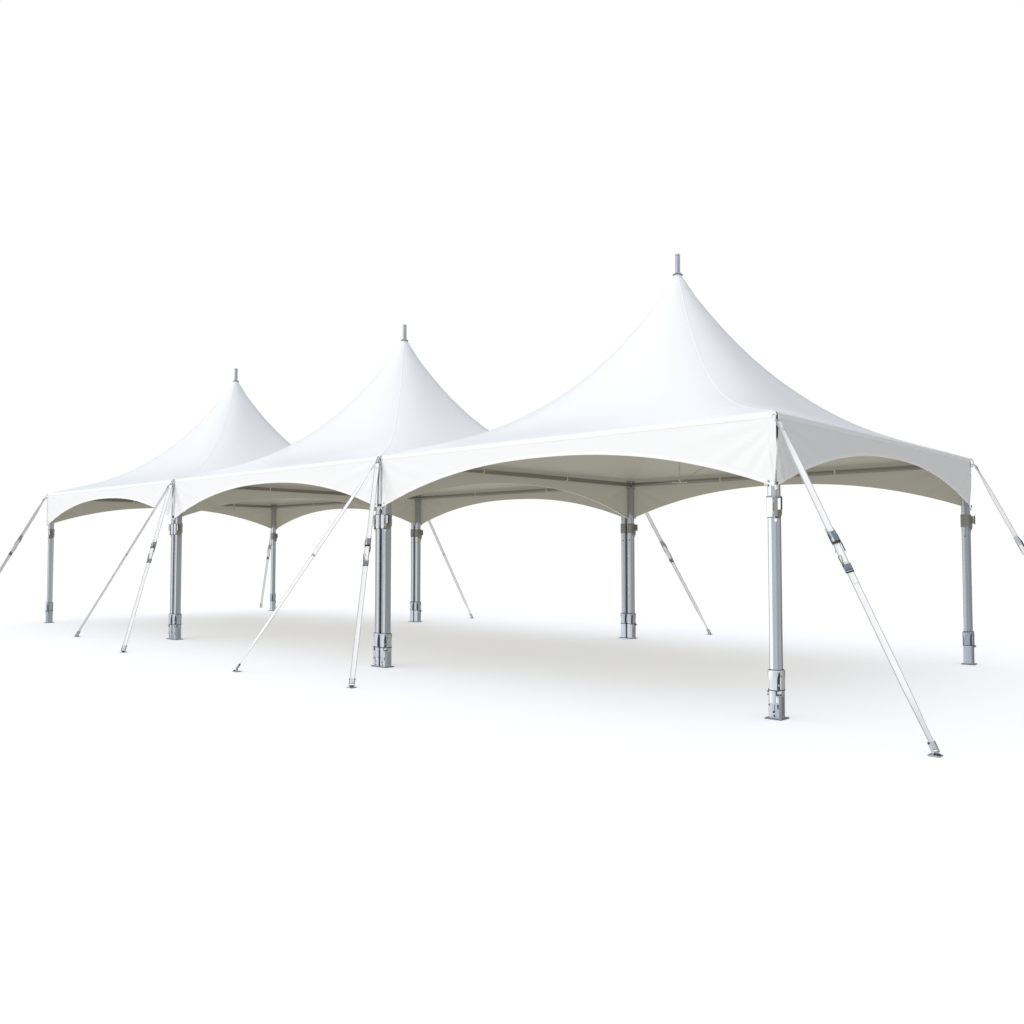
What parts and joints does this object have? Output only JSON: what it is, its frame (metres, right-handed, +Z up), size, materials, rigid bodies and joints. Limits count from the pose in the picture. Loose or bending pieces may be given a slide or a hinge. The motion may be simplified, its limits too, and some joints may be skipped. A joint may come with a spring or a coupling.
{
  "type": "marquee tent",
  "caption": "Open-sided marquee of linked square high-peak frame tents with concave fabric roofs, arched valances, aluminium legs and webbing guys.",
  "frame": {"origin": "on the ground, at the middle of the marquee's footprint", "axes": "+X along the row of bays to the right end, +Y to the back, +Z up; the front faces -Y"},
  "size_m": [17.742, 7.762, 4.9],
  "materials": {
    "cloth": "white coated polyester, satin",
    "webbing": "white woven polyester webbing",
    "aluminium": "mill finish, drawn lengthwise",
    "frame_aluminium": "mill finish, dull",
    "galvanised_steel": "hot-dip galvanised",
    "cable_steel": "galvanised wire rope",
    "ratchet_steel": "zinc plated",
    "dark_fittings": "matt black"
  },
  "bodies": {
    "root": {"foot_front_1": "galvanised_steel", "foot_front_2": "galvanised_steel", "foot_front_3": "galvanised_steel", "foot_front_4": "galvanised_steel", "foot_back_1": "galvanised_steel", "foot_back_2": "galvanised_steel", "foot_back_3": "galvanised_steel", "foot_back_4": "galvanised_steel", "leg_front_1_left": "aluminium", "leg_front_1_right": "aluminium", "leg_front_2_left": "aluminium", "leg_front_2_right": "aluminium", "leg_front_3_left": "aluminium", "leg_front_3_right": "aluminium", "leg_back_1_left": "aluminium", "leg_back_1_right": "aluminium", "leg_back_2_left": "aluminium", "leg_back_2_right": "aluminium", "leg_back_3_left": "aluminium", "leg_back_3_right": "aluminium", "eave_frame_1": "frame_aluminium", "cross_cables_1": "cable_steel", "mast_1": "aluminium", "roof_1": "cloth", "valance_right_1": "cloth", "valance_back_1": "cloth", "valance_left_1": "cloth", "valance_front_1": "cloth", "eave_frame_2": "frame_aluminium", "cross_cables_2": "cable_steel", "mast_2": "aluminium", "roof_2": "cloth", "valance_right_2": "cloth", "valance_back_2": "cloth", "valance_left_2": "cloth", "valance_front_2": "cloth", "eave_frame_3": "frame_aluminium", "cross_cables_3": "cable_steel", "mast_3": "aluminium", "roof_3": "cloth", "valance_right_3": "cloth", "valance_back_3": "cloth", "valance_left_3": "cloth", "valance_front_3": "cloth", "guy_front_left": "webbing", "guy_front_middle_left_a": "webbing", "guy_front_middle_left_b": "webbing", "guy_front_middle_right_a": "webbing", "guy_front_middle_right_b": "webbing", "guy_front_right": "webbing", "guy_back_right": "webbing", "guy_back_middle_right": "webbing", "guy_back_middle_left": "webbing", "guy_back_left": "webbing"}
  },
  "joints": []
}
